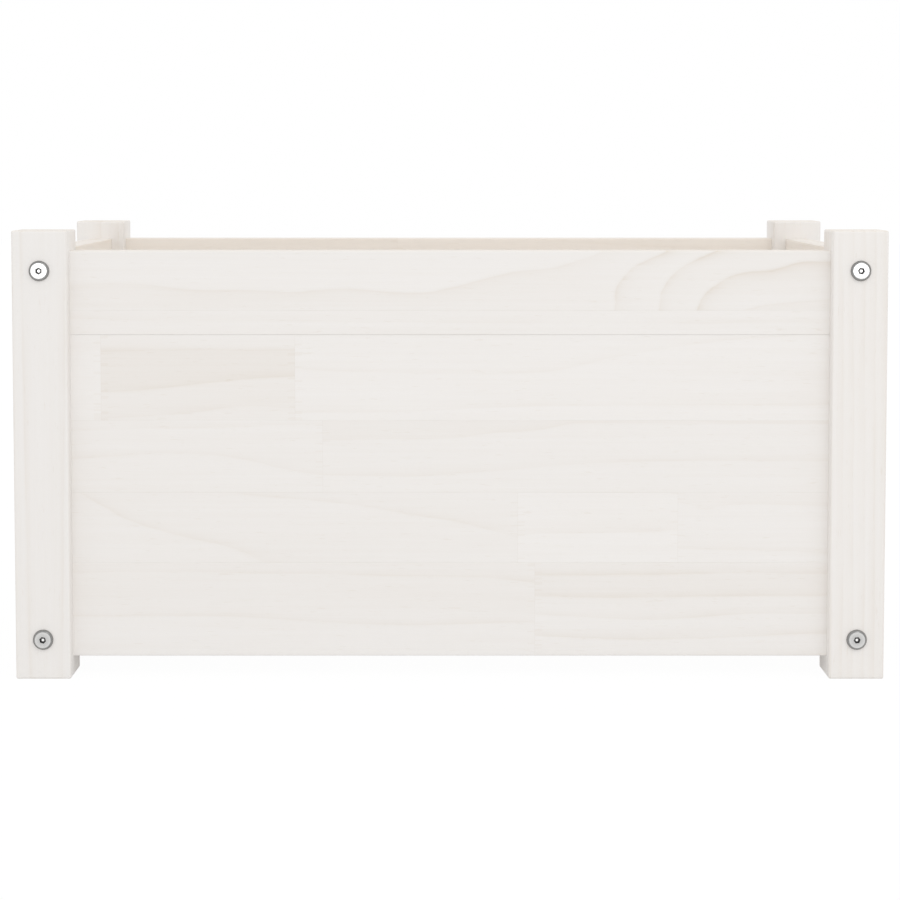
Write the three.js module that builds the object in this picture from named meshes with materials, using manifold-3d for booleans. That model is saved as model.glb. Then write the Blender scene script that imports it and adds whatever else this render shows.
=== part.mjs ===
// A rectangular timber planter: four square posts, walls of two boards let in between them,
// bolted at the side walls, with a slatted floor.
// Millimetres. X runs along the length, Y from front to back and Z up. The origin is the
// centre of the footprint, on the ground.
import * as THREE from "three";
import { mergeVertices, toCreasedNormals } from "three/addons/utils/BufferGeometryUtils.js";
import Module from "manifold-3d";

// Overall size over the posts.
const LENGTH = 600;
const DEPTH = 310;
const HEIGHT = 310;

// Square posts.
const POST_SIDE = 38;
const POST_CORNER = 2;
const POST_END_EASE = 1.2;

// Wall boards, centred on the posts.
const BOARD_THICKNESS = 18;
const BOARD_EDGE = 1.2;
const WALL_DROP = 14;
const WALL_LIFT = 14;
const TOP_BOARD_HEIGHT = 58;

// Seam between a lower panel and its top board.
const SEAM_GAP = 0.5;
const SEAM_EASE = 0.4;
const TONGUE_THICKNESS = 6;
const TONGUE_HEIGHT = 8;
const TONGUE_PLAY = 0.3;

// Gap between faces that meet.
const FACE_GAP = 0.3;

// Connector bolts through the posts into the ends of the side walls.
const BOLT_DIAMETER = 6;
const BOLT_LENGTH = 80;
const BOLT_TIP_EASE = 0.8;
const BOLT_FROM_POST_END = 27.5;
const BOLT_PLAY = 0.5;
const HEAD_DIAMETER = 14;
const HEAD_HEIGHT = 2.2;
const HEAD_CHAMFER_WIDTH = 1.2;
const HEAD_CHAMFER_DEPTH = 0.8;
const SOCKET_ACROSS_FLATS = 4;
const SOCKET_DEPTH = 3.2;

// Barrel nuts, pushed in from the inner face of the side walls.
const NUT_DIAMETER = 10;
const NUT_COVER = 2;
const NUT_END_EASE = 0.6;
const NUT_PLAY = 0.3;
const NUT_SLOT_WIDTH = 1.6;
const NUT_SLOT_DEPTH = 1.8;
const BOLT_PAST_NUT = 3;

// Wooden dowels between the boards and the posts.
const DOWEL_DIAMETER = 8;
const DOWEL_LENGTH = 30;
const DOWEL_END_EASE = 1;
const DOWEL_PLAY = 0.3;

// Floor battens on the long walls, and the screws that hold them.
const BATTEN_HEIGHT = 20;
const BATTEN_WIDTH = 20;
const BATTEN_LIFT = 5;
const BATTEN_END_GAP = 1;
const BATTEN_EDGE = 1;
const SCREWS_PER_BATTEN = 3;
const SCREW_DIAMETER = 4;
const SCREW_HEAD_DIAMETER = 8;
const SCREW_BITE = 10;
const SCREW_POINT = 4;
const SCREW_FROM_BATTEN_END = 60;
const SCREW_PLAY = 0.3;

// Floor slats across the battens.
const SLAT_COUNT = 5;
const SLAT_THICKNESS = 12;
const SLAT_GAP = 10;
const SLAT_POST_GAP = 2;
const SLAT_WALL_GAP = 1;
const SLAT_EDGE = 1.2;

// Facets of round forms and of eased corners.
const ROUND_SIDES = 16;
const HEAD_SIDES = 24;
const CORNER_STEPS = 2;
const END_EASE_STEPS = 1;

// Heights worked out from the sizes above.
const WALL_BOTTOM = WALL_LIFT;
const WALL_TOP = HEIGHT - WALL_DROP;
const SEAM_TOP = WALL_TOP - TOP_BOARD_HEIGHT;
const LOWER_PANEL_HEIGHT = SEAM_TOP - SEAM_GAP - WALL_BOTTOM;
const BOLT_HEIGHTS = { lower: BOLT_FROM_POST_END, upper: HEIGHT - BOLT_FROM_POST_END };

// Dowels sit at the quarter points of a long lower panel and halfway up its top board.
const PANEL_DOWEL_HEIGHTS = {
  low: WALL_BOTTOM + LOWER_PANEL_HEIGHT / 4,
  middle: WALL_BOTTOM + (LOWER_PANEL_HEIGHT * 3) / 4,
  top: SEAM_TOP + TOP_BOARD_HEIGHT / 2,
};
const SIDE_DOWEL_HEIGHT = WALL_BOTTOM + LOWER_PANEL_HEIGHT / 2;
const BATTEN_BOTTOM = WALL_BOTTOM + BATTEN_LIFT;
const SCREW_HEIGHT = BATTEN_BOTTOM + BATTEN_HEIGHT / 2;

// Lengths and places worked out from the sizes above.
const LONG_WALL = LENGTH - 2 * POST_SIDE;
const SHORT_WALL = DEPTH - 2 * POST_SIDE;
const POST_CENTRE_X = (LENGTH - POST_SIDE) / 2;
const POST_CENTRE_Y = (DEPTH - POST_SIDE) / 2;
const NUT_FROM_WALL_END = BOLT_LENGTH - POST_SIDE - BOLT_PAST_NUT - NUT_DIAMETER / 2;
const NUT_LENGTH = BOARD_THICKNESS - 2 * NUT_COVER;
const BOLT_BORE = BOLT_DIAMETER / 2 + BOLT_PLAY;
const DOWEL_BORE = DOWEL_DIAMETER / 2 + DOWEL_PLAY;
const DOWEL_BORE_DEPTH = DOWEL_LENGTH / 2 + DOWEL_PLAY;
const BATTEN_OUTER_Y = BOARD_THICKNESS / 2 + FACE_GAP;
const BATTEN_INNER_Y = BATTEN_OUTER_Y + BATTEN_WIDTH;
const SCREW_LENGTH = BATTEN_WIDTH + FACE_GAP + SCREW_BITE;

const QUARTER_TURN = Math.PI / 2;
const CREASE_ANGLE = Math.PI / 5;
const X_AXIS = new THREE.Vector3(1, 0, 0);
const Y_AXIS = new THREE.Vector3(0, 1, 0);
const Z_AXIS = new THREE.Vector3(0, 0, 1);

const wasm = await Module();
wasm.setup();

const pine = new THREE.MeshStandardMaterial({ color: 0xeeeae7, roughness: 0.72, metalness: 0 });
const beech = new THREE.MeshStandardMaterial({ color: 0xd2b48c, roughness: 0.8, metalness: 0 });
const zincSteel = new THREE.MeshStandardMaterial({ color: 0xc4c4c2, roughness: 0.35, metalness: 1 });

// A closed geometry as a solid that can be joined and cut.
function solid(geometry) {
  const bare = geometry.clone();
  bare.deleteAttribute("normal");
  bare.deleteAttribute("uv");
  const merged = mergeVertices(bare);
  const vertProperties = merged.attributes.position.array;
  const triVerts = new Uint32Array(merged.index.array);
  return new wasm.Manifold(new wasm.Mesh({ numProp: 3, vertProperties, triVerts }));
}

// A solid as a named mesh.
function piece(name, body, material) {
  const { vertProperties, triVerts } = body.getMesh();
  const geometry = new THREE.BufferGeometry();
  geometry.setAttribute("position", new THREE.BufferAttribute(vertProperties, 3));
  geometry.setIndex(new THREE.BufferAttribute(triVerts, 1));
  const mesh = new THREE.Mesh(toCreasedNormals(geometry, CREASE_ANGLE), material);
  mesh.name = name;
  return mesh;
}

// A round bar, or the bore for one, between two points.
function bar(radius, start, end) {
  const along = new THREE.Vector3().subVectors(end, start);
  const length = along.length();
  const geometry = new THREE.CylinderGeometry(radius, radius, length, ROUND_SIDES);
  geometry.translate(0, length / 2, 0);
  geometry.applyQuaternion(new THREE.Quaternion().setFromUnitVectors(Y_AXIS, along.normalize()));
  geometry.translate(start.x, start.y, start.z);
  return solid(geometry);
}

function point(x, y, z) {
  return new THREE.Vector3(x, y, z);
}

// A turned solid about Y, from a profile of [radius, height] pairs that starts and ends on the axis.
function turned(profile, sides) {
  const points = profile.map(([radius, height]) => new THREE.Vector2(radius, height));
  return solid(new THREE.LatheGeometry(points, sides));
}

// A rectangle with rounded corners, centred on the origin.
function roundedRectangle(width, height, corner) {
  const x = width / 2 - corner;
  const y = height / 2 - corner;
  const outline = new THREE.Shape();
  outline.absarc(x, y, corner, 0, QUARTER_TURN);
  outline.absarc(-x, y, corner, QUARTER_TURN, 2 * QUARTER_TURN);
  outline.absarc(-x, -y, corner, 2 * QUARTER_TURN, 3 * QUARTER_TURN);
  outline.absarc(x, -y, corner, 3 * QUARTER_TURN, 4 * QUARTER_TURN);
  return outline;
}

// A bar of timber from z = 0 to its length, with rounded long corners and eased ends.
function timber(width, height, length, corner, endEase) {
  const geometry = new THREE.ExtrudeGeometry(roundedRectangle(width, height, corner), {
    depth: length - 2 * endEase,
    curveSegments: CORNER_STEPS,
    bevelThickness: endEase,
    bevelSize: endEase,
    bevelOffset: -endEase,
    bevelSegments: END_EASE_STEPS,
  });
  geometry.translate(0, 0, endEase);
  return geometry;
}

// A board from its cross-section in Y and Z, centred along X.
function boardFrom(outline, length) {
  const geometry = new THREE.ExtrudeGeometry(outline, {
    depth: length,
    curveSegments: CORNER_STEPS,
    bevelEnabled: false,
  });
  geometry.applyMatrix4(new THREE.Matrix4().makeBasis(Y_AXIS, Z_AXIS, X_AXIS));
  geometry.translate(-length / 2, 0, 0);
  return solid(geometry);
}

// Cross-section of a lower panel: eased lower edges, and a tongue along its top.
function lowerPanelOutline() {
  const face = BOARD_THICKNESS / 2;
  const flat = face - BOARD_EDGE;
  const tongue = TONGUE_THICKNESS / 2;
  const top = LOWER_PANEL_HEIGHT;
  const outline = new THREE.Shape();
  outline.absarc(-flat, BOARD_EDGE, BOARD_EDGE, 2 * QUARTER_TURN, 3 * QUARTER_TURN);
  outline.absarc(flat, BOARD_EDGE, BOARD_EDGE, 3 * QUARTER_TURN, 4 * QUARTER_TURN);
  outline.lineTo(face, top - SEAM_EASE);
  outline.lineTo(face - SEAM_EASE, top);
  outline.lineTo(tongue, top);
  outline.lineTo(tongue, top + TONGUE_HEIGHT);
  outline.lineTo(-tongue, top + TONGUE_HEIGHT);
  outline.lineTo(-tongue, top);
  outline.lineTo(-face + SEAM_EASE, top);
  outline.lineTo(-face, top - SEAM_EASE);
  return outline;
}

// Cross-section of a top board: eased upper edges, and a groove along its underside.
function topBoardOutline() {
  const face = BOARD_THICKNESS / 2;
  const flat = face - BOARD_EDGE;
  const groove = TONGUE_THICKNESS / 2 + TONGUE_PLAY;
  const grooveTop = TONGUE_HEIGHT + TONGUE_PLAY;
  const arcCentre = TOP_BOARD_HEIGHT - BOARD_EDGE;
  const outline = new THREE.Shape();
  outline.absarc(flat, arcCentre, BOARD_EDGE, 0, QUARTER_TURN);
  outline.absarc(-flat, arcCentre, BOARD_EDGE, QUARTER_TURN, 2 * QUARTER_TURN);
  outline.lineTo(-face, SEAM_EASE);
  outline.lineTo(-face + SEAM_EASE, 0);
  outline.lineTo(-groove, 0);
  outline.lineTo(-groove, grooveTop);
  outline.lineTo(groove, grooveTop);
  outline.lineTo(groove, 0);
  outline.lineTo(face - SEAM_EASE, 0);
  outline.lineTo(face, SEAM_EASE);
  return outline;
}

// Bores for the dowels at both ends of a wall board, at the given height.
function endDowelBores(wallLength, height) {
  const reach = wallLength / 2;
  const inner = reach - DOWEL_BORE_DEPTH;
  return [-1, 1].map((end) =>
    bar(DOWEL_BORE, point(end * inner, 0, height), point(end * (reach + DOWEL_BORE_DEPTH), 0, height)),
  );
}

// Bores for a bolt at both ends of a side board, and for the barrel nut across each.
function boltAndNutBores(height) {
  const reach = SHORT_WALL / 2;
  const tip = reach + POST_SIDE - BOLT_LENGTH - BOLT_PLAY;
  const nutPlace = reach - NUT_FROM_WALL_END;
  const nutBore = NUT_DIAMETER / 2 + NUT_PLAY;
  const nutDeep = -NUT_LENGTH / 2 - NUT_PLAY;
  return [-1, 1].flatMap((end) => [
    bar(BOLT_BORE, point(end * tip, 0, height), point(end * (reach + POST_SIDE), 0, height)),
    bar(nutBore, point(end * nutPlace, nutDeep, height), point(end * nutPlace, BOARD_THICKNESS, height)),
  ]);
}

function cut(body, cutters) {
  return cutters.reduce((rest, cutter) => rest.subtract(cutter), body);
}

// A post on the ground. inX and inY are the signs of the directions to its two walls.
function post(name, inX, inY) {
  const half = POST_SIDE / 2;
  const depth = half - DOWEL_BORE_DEPTH;
  const dowels = Object.values(PANEL_DOWEL_HEIGHTS).map((z) =>
    bar(DOWEL_BORE, point(inX * depth, 0, z), point(inX * POST_SIDE, 0, z)),
  );
  const sideDowel = bar(
    DOWEL_BORE,
    point(0, inY * depth, SIDE_DOWEL_HEIGHT),
    point(0, inY * POST_SIDE, SIDE_DOWEL_HEIGHT),
  );
  const bolts = Object.values(BOLT_HEIGHTS).map((z) =>
    bar(BOLT_BORE, point(0, -POST_SIDE, z), point(0, POST_SIDE, z)),
  );
  const blank = solid(timber(POST_SIDE, POST_SIDE, HEIGHT, POST_CORNER, POST_END_EASE));
  const mesh = piece(name, cut(blank, [...dowels, sideDowel, ...bolts]), pine);
  mesh.position.set(-inX * POST_CENTRE_X, -inY * POST_CENTRE_Y, 0);
  return mesh;
}

// The profile of a countersunk screw along +Y to its head at y = 0, grown by a play all round.
function screwProfile(play) {
  const shank = SCREW_DIAMETER / 2 + play;
  const head = SCREW_HEAD_DIAMETER / 2 + play;
  return [
    [0, -SCREW_LENGTH - play],
    [shank, -SCREW_LENGTH + SCREW_POINT],
    [shank, shank - head],
    [head, 0],
    [0, 0],
  ];
}

// Places of the batten's screws along the wall.
function screwPlaces() {
  const first = LONG_WALL / 2 - SCREW_FROM_BATTEN_END;
  const pitch = (2 * first) / (SCREWS_PER_BATTEN - 1);
  return Array.from({ length: SCREWS_PER_BATTEN }, (_, i) => -first + i * pitch);
}

// Bores for the batten's screws, in the frame of a long wall.
function screwBores() {
  return screwPlaces().map((x) =>
    turned(screwProfile(SCREW_PLAY), ROUND_SIDES).translate([x, BATTEN_INNER_Y, SCREW_HEIGHT]),
  );
}

// A dowel across the joint between a wall end and its post.
function dowel(name, x, height) {
  const radius = DOWEL_DIAMETER / 2;
  const reach = DOWEL_LENGTH / 2;
  const profile = [
    [0, -reach],
    [radius - DOWEL_END_EASE, -reach],
    [radius, -reach + DOWEL_END_EASE],
    [radius, reach - DOWEL_END_EASE],
    [radius - DOWEL_END_EASE, reach],
    [0, reach],
  ];
  const mesh = piece(name, turned(profile, ROUND_SIDES), beech);
  mesh.rotation.z = QUARTER_TURN;
  mesh.position.set(x, 0, height);
  return mesh;
}

// A connector bolt along +Y, its head's seat at y = 0, with a hexagon socket.
function bolt(name) {
  const shank = BOLT_DIAMETER / 2;
  const head = HEAD_DIAMETER / 2;
  const profile = [
    [0, -HEAD_HEIGHT],
    [head - HEAD_CHAMFER_WIDTH, -HEAD_HEIGHT],
    [head, -HEAD_HEIGHT + HEAD_CHAMFER_DEPTH],
    [head, 0],
    [shank, 0],
    [shank, BOLT_LENGTH - BOLT_TIP_EASE],
    [shank - BOLT_TIP_EASE, BOLT_LENGTH],
    [0, BOLT_LENGTH],
  ];
  const acrossCorners = SOCKET_ACROSS_FLATS / Math.cos(Math.PI / 6);
  const socket = new THREE.CylinderGeometry(acrossCorners / 2, acrossCorners / 2, 2 * SOCKET_DEPTH, 6);
  socket.translate(0, -HEAD_HEIGHT, 0);
  return piece(name, turned(profile, HEAD_SIDES).subtract(solid(socket)), zincSteel);
}

// A barrel nut along Y: cross bore for the bolt, and a slot in its inner end.
function barrelNut(name) {
  const radius = NUT_DIAMETER / 2;
  const reach = NUT_LENGTH / 2;
  const profile = [
    [0, -reach],
    [radius - NUT_END_EASE, -reach],
    [radius, -reach + NUT_END_EASE],
    [radius, reach - NUT_END_EASE],
    [radius - NUT_END_EASE, reach],
    [0, reach],
  ];
  const boltBore = BOLT_DIAMETER / 2 + NUT_PLAY;
  const bore = bar(boltBore, point(-NUT_DIAMETER, 0, 0), point(NUT_DIAMETER, 0, 0));
  const slot = new THREE.BoxGeometry(2 * NUT_DIAMETER, 2 * NUT_SLOT_DEPTH, NUT_SLOT_WIDTH);
  slot.translate(0, reach, 0);
  return piece(name, cut(turned(profile, ROUND_SIDES), [bore, solid(slot)]), zincSteel);
}

// A long wall in its own frame: X along the wall, +Y to the inside of the planter.
function longWall(name, ends) {
  const wall = new THREE.Group();
  const boardLength = LONG_WALL - 2 * FACE_GAP;
  const { low, middle, top } = PANEL_DOWEL_HEIGHTS;
  const lowerBores = [
    ...endDowelBores(LONG_WALL, low),
    ...endDowelBores(LONG_WALL, middle),
    ...screwBores(),
  ];
  const lower = boardFrom(lowerPanelOutline(), boardLength).translate([0, 0, WALL_BOTTOM]);
  const upper = boardFrom(topBoardOutline(), boardLength).translate([0, 0, SEAM_TOP]);
  wall.add(piece(name + "_lower_panel", cut(lower, lowerBores), pine));
  wall.add(piece(name + "_top_board", cut(upper, endDowelBores(LONG_WALL, top)), pine));

  for (const [height, z] of Object.entries(PANEL_DOWEL_HEIGHTS)) {
    wall.add(dowel("dowel_" + name + "_" + ends[0] + "_" + height, -LONG_WALL / 2, z));
    wall.add(dowel("dowel_" + name + "_" + ends[1] + "_" + height, LONG_WALL / 2, z));
  }

  const battenLength = LONG_WALL - 2 * BATTEN_END_GAP;
  const batten = timber(BATTEN_WIDTH, BATTEN_HEIGHT, battenLength, BATTEN_EDGE, BATTEN_EDGE / 2);
  batten.applyMatrix4(new THREE.Matrix4().makeBasis(Y_AXIS, Z_AXIS, X_AXIS));
  batten.translate(-battenLength / 2, BATTEN_OUTER_Y + BATTEN_WIDTH / 2, SCREW_HEIGHT);
  wall.add(piece("floor_batten_" + name, cut(solid(batten), screwBores()), pine));
  screwPlaces().forEach((x, i) => {
    const screw = piece("screw_" + name + "_" + (i + 1), turned(screwProfile(0), ROUND_SIDES), zincSteel);
    screw.position.set(x, BATTEN_INNER_Y, SCREW_HEIGHT);
    wall.add(screw);
  });
  return wall;
}

// A side wall in its own frame: X along the wall, +Y to the inside of the planter.
function sideWall(name, ends) {
  const wall = new THREE.Group();
  const boardLength = SHORT_WALL - 2 * FACE_GAP;
  const lowerBores = [
    ...boltAndNutBores(BOLT_HEIGHTS.lower),
    ...endDowelBores(SHORT_WALL, SIDE_DOWEL_HEIGHT),
  ];
  const lower = boardFrom(lowerPanelOutline(), boardLength).translate([0, 0, WALL_BOTTOM]);
  const upper = boardFrom(topBoardOutline(), boardLength).translate([0, 0, SEAM_TOP]);
  wall.add(piece(name + "_lower_panel", cut(lower, lowerBores), pine));
  wall.add(piece(name + "_top_board", cut(upper, boltAndNutBores(BOLT_HEIGHTS.upper)), pine));

  [-1, 1].forEach((end, i) => {
    const corner = name + "_" + ends[i];
    wall.add(dowel("dowel_" + corner, (end * SHORT_WALL) / 2, SIDE_DOWEL_HEIGHT));
    for (const [height, z] of Object.entries(BOLT_HEIGHTS)) {
      const fastener = bolt("bolt_" + corner + "_" + height);
      fastener.rotation.z = end * QUARTER_TURN;
      fastener.position.set(end * (SHORT_WALL / 2 + POST_SIDE), 0, z);
      const nut = barrelNut("barrel_nut_" + corner + "_" + height);
      nut.position.set(end * (SHORT_WALL / 2 - NUT_FROM_WALL_END), 0, z);
      wall.add(fastener, nut);
    }
  });
  return wall;
}

// The floor: slats across the two battens, with drain gaps between them.
function floor() {
  const slats = new THREE.Group();
  const span = LONG_WALL - 2 * SLAT_POST_GAP;
  const width = (span - (SLAT_COUNT - 1) * SLAT_GAP) / SLAT_COUNT;
  const length = 2 * POST_CENTRE_Y - BOARD_THICKNESS - 2 * SLAT_WALL_GAP;
  const middle = BATTEN_BOTTOM + BATTEN_HEIGHT + SLAT_THICKNESS / 2;
  const blank = timber(width, SLAT_THICKNESS, length, SLAT_EDGE, SLAT_EDGE / 2);
  blank.rotateX(QUARTER_TURN);
  blank.translate(0, length / 2, 0);
  for (let i = 0; i < SLAT_COUNT; i++) {
    const slat = piece("floor_slat_" + (i + 1), solid(blank), pine);
    slat.position.set(-span / 2 + width / 2 + i * (width + SLAT_GAP), 0, middle);
    slats.add(slat);
  }
  return slats;
}

const planter = new THREE.Group();
planter.add(post("post_front_left", 1, 1));
planter.add(post("post_front_right", -1, 1));
planter.add(post("post_rear_left", 1, -1));
planter.add(post("post_rear_right", -1, -1));

const front = longWall("front", ["left", "right"]);
front.position.y = -POST_CENTRE_Y;
const rear = longWall("rear", ["right", "left"]);
rear.position.y = POST_CENTRE_Y;
rear.rotation.z = 2 * QUARTER_TURN;
const left = sideWall("left", ["rear", "front"]);
left.position.x = -POST_CENTRE_X;
left.rotation.z = -QUARTER_TURN;
const right = sideWall("right", ["front", "rear"]);
right.position.x = POST_CENTRE_X;
right.rotation.z = QUARTER_TURN;
planter.add(front, rear, left, right, floor());

export default planter;
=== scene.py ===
import math

import bmesh
import bpy
import numpy as np
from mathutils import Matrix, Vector


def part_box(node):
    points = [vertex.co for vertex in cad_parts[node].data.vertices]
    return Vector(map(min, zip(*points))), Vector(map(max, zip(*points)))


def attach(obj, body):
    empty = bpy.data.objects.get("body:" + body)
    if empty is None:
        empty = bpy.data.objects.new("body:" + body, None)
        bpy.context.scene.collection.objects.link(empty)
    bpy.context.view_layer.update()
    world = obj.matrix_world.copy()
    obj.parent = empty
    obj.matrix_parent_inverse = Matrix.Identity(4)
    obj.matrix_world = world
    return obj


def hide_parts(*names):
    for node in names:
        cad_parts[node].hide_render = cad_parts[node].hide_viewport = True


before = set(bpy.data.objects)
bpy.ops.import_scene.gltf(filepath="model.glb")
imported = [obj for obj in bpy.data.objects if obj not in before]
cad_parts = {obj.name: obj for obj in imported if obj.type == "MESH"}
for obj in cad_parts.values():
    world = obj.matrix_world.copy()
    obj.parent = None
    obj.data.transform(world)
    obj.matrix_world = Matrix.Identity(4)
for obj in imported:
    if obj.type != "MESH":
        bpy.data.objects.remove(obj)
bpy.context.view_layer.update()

MM = 0.001
X, Y, Z = np.eye(3)

# Sizes are in millimetres, and those of round things are radii. Places are measured from the
# planter's middle and up from the ground.

# Timber: how far apart its points lie, its sizes, and how its corners are eased.
GRID = 4
POST_SIDE = 38.0
POST_FACE = 155.0
BOARD_THICKNESS = 18.0
BOARD_EASE = 0.8
SEAM_EASE = 0.15
POST_EASE = 1.2
POST_END_EASE = 1.2
SLAT_EASE = 1.2
SLAT_END_EASE = 0.6
BATTEN_EASE = 1.0
BATTEN_END_EASE = 0.5
LEAST_EASE = 0.2
CAP_RINGS = 8

# The tongue and groove along a wall's seam, each as its thickness and its reach.
TONGUE = (6.0, 8.0)
GROOVE = (6.6, 8.3)
TONGUE_EASE = 0.4

# The finished walls close most of the fitting gaps that the solids keep at the seam and the posts.
PANEL_TOP = 237.9
TIGHT_FIT = 0.28

# Wear of the wash: how far it reaches in from a beam's edges, as a share of their ease, and how
# strong it is on a wall's top edge, from what height up. On that edge it is also painted shade,
# which darkens the highlight the edge catches from above.
EDGE_WORN_REACH = 0.7
WALL_TOP_EDGE_FROM = 295.2
WALL_WEAR_AND_SHADE = 3.2

# Lengths that the staves are laid out on, with the edges of a piece that is one stave wide.
LONG_WALL_BLANK = 524
SIDE_WALL_BLANK = 234
POST_BLANK = (320, (-20, 20))
BATTEN_BLANK = (530, (-11, 11))
SLAT_BLANK = (260, (-50, 50))

# Connector bolts. Places along a bolt start at the post's face and are below zero outside it. The
# socket is measured to its flats, the head rounds off by a drop and a spread, and EDGE is a narrow
# chamfer.
ROUND_SIDES = 48
BOLT_PLACE = 281.0
BOLT_HEIGHTS = {"lower": 27.5, "upper": 282.5}
BOLT_BORE = 3.3
BOLT_LENGTH = 80.0
SHANK = 3.0
SHANK_CHAMFER = 0.8
HEAD = 7.0
HEAD_FLAT = 5.5
HEAD_TOP = -2.2
HEAD_DROP = 1.4
HEAD_SPREAD = 1.47
SOCKET = 2.0
SOCKET_FLOOR = 1.0
BOSS = 1.0
BOSS_TOP = -1.1
EDGE = 0.1

# Barrel nuts in the side walls. Each end of one narrows in steps of (back from it, in from the side).
NUT = 5.0
NUT_STEPS = ((0, 0.7), (0.1, 0.5), (0.6, 0))
NUT_BORE = 5.3
NUT_BORE_DEPTH = 17.0
NUT_PLACE = 83.0
NUT_REACH = 7.0
NUT_SLOT_HALF_WIDTH = 0.8
NUT_SLOT_DEPTH = 1.8

# Countersunk screws through the battens, and the sinks they sit in.
BATTEN_FACE = 106.7
SCREW_HEIGHT = 29.0
SCREW_PLACES = (-202, 0, 202)
SCREW_SIDES = 32
SCREW_HEAD = 4.0
SCREW_HEAD_HEIGHT = 2.3
SCREW_SHANK = 2.0
SCREW_POINT = 4.0
SINK_CONE = 2.2
SINK_DEPTH = 5.0
SINK_PLAY = 0.3
RECESS_REACH = 2.1
RECESS_HALF_WIDTH = 0.45
RECESS_DEPTH = 1.6

WALLS = (("left", -1), ("right", 1))
ENDS = (("front", -1), ("rear", 1))


# Sums on shader values.

class Value:
    """One output of a finish's nodes, so that sums on it are written as plain expressions."""

    def __init__(self, finish, socket):
        self.finish = finish
        self.socket = socket

    def maths(self, operation, first, second):
        return self.finish.node("ShaderNodeMath", {"operation": operation}, {0: first, 1: second})

    def __add__(self, other):
        return self.maths("ADD", self, other)

    def __sub__(self, other):
        return self.maths("SUBTRACT", self, other)

    def __rsub__(self, other):
        return self.maths("SUBTRACT", other, self)

    def __mul__(self, other):
        return self.maths("MULTIPLY", self, other)

    def __truediv__(self, other):
        return self.maths("DIVIDE", self, other)

    def __rtruediv__(self, other):
        return self.maths("DIVIDE", other, self)

    __radd__ = __add__
    __rmul__ = __mul__

    def part(self, name):
        """Another output of the same node."""
        return Value(self.finish, self.socket.node.outputs[name])


class Finish:
    """A surface finish under construction."""

    def __init__(self, tree):
        self.tree = tree
        tree.nodes.clear()

    def node(self, kind, settings=None, sockets=None, output=0):
        made = self.tree.nodes.new(kind)
        for name, value in (settings or {}).items():
            setattr(made, name, value)
        for name, value in (sockets or {}).items():
            if isinstance(value, Value):
                self.tree.links.new(value.socket, made.inputs[name])
            else:
                made.inputs[name].default_value = value
        return Value(self, made.outputs[output]) if made.outputs else None

    def painted(self, name):
        """The three numbers painted on the surface under a name."""
        painted = self.node("ShaderNodeAttribute", {"attribute_name": name}, output="Vector")
        split = self.node("ShaderNodeSeparateXYZ", {}, {"Vector": painted})
        return [split.part(axis) for axis in "XYZ"]

    def stretched(self, place, scale):
        return self.node("ShaderNodeVectorMath", {"operation": "MULTIPLY"}, {0: place, 1: scale})

    def noise(self, place, scale, detail=2.0, roughness=0.5):
        """Noise from 0 to 1 at a place stretched by a scale along each axis."""
        return self.node("ShaderNodeTexNoise", {}, {
            "Vector": self.stretched(place, scale), "Scale": 1.0, "Detail": detail, "Roughness": roughness})

    def ramp(self, value, low, high):
        """A smooth step from 0 at low to 1 at high."""
        return self.node("ShaderNodeMapRange", {"interpolation_type": "SMOOTHSTEP"}, {
            "Value": value, "From Min": low, "From Max": high})

    def fade(self, distance, reach):
        """1 at no distance, falling off over a reach."""
        return self.node("ShaderNodeMath", {"operation": "POWER"}, {0: math.exp(-1 / reach), 1: distance})

    def blend(self, factor, first, second, how="MIX"):
        return self.node("ShaderNodeMix", {"data_type": "RGBA", "blend_type": how}, {
            0: factor, 6: first, 7: second}, output=2)

    def grey(self, value):
        return self.node("ShaderNodeCombineColor", {}, {0: value, 1: value, 2: value})

    def seen(self):
        """1 for light on its way to the camera, straight or by a reflection or through glass."""
        path = self.node("ShaderNodeLightPath")
        return path.part("Is Camera Ray") + path.part("Is Glossy Ray") + path.part("Is Transmission Ray")


def new_finish(name):
    """A new material, and the finish to build in it."""
    material = bpy.data.materials.new(name)
    material.use_nodes = True
    return material, Finish(material.node_tree)


def linear(red, green, blue):
    """A colour given as it shows on a screen, 0 to 255, for a socket."""
    shown = [channel / 255 for channel in (red, green, blue)]
    return (*((c / 12.92 if c < 0.04045 else ((c + 0.055) / 1.055) ** 2.4) for c in shown), 1.0)


# Finishes.

WHITE_WASH = linear(241, 238, 235)
# The wash on a wall's inner faces is lighter and warmer: painted bounce light from inside the box.
INSIDE_BOUNCE_WASH = linear(247, 241, 234)
BARE_PINE = linear(196, 172, 136)
GLUE_LINE = linear(190, 178, 160)

# How much bare pine each mark lets show through the wash.
SHOWS_EVERYWHERE = 0.008
SHOWS = {
    "heartwood": 0.13,
    "late wood": 0.115,
    "streaks": 0.085,
    "fibres": 0.055,
    "cloud": 0.05,
    "pores": 0.08,
    "flecks": 0.09,
    "joint teeth": 0.05,
    "wear": 0.05,
    "end grain": 0.11,
    "late wood on end grain": 0.12,
}


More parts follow.
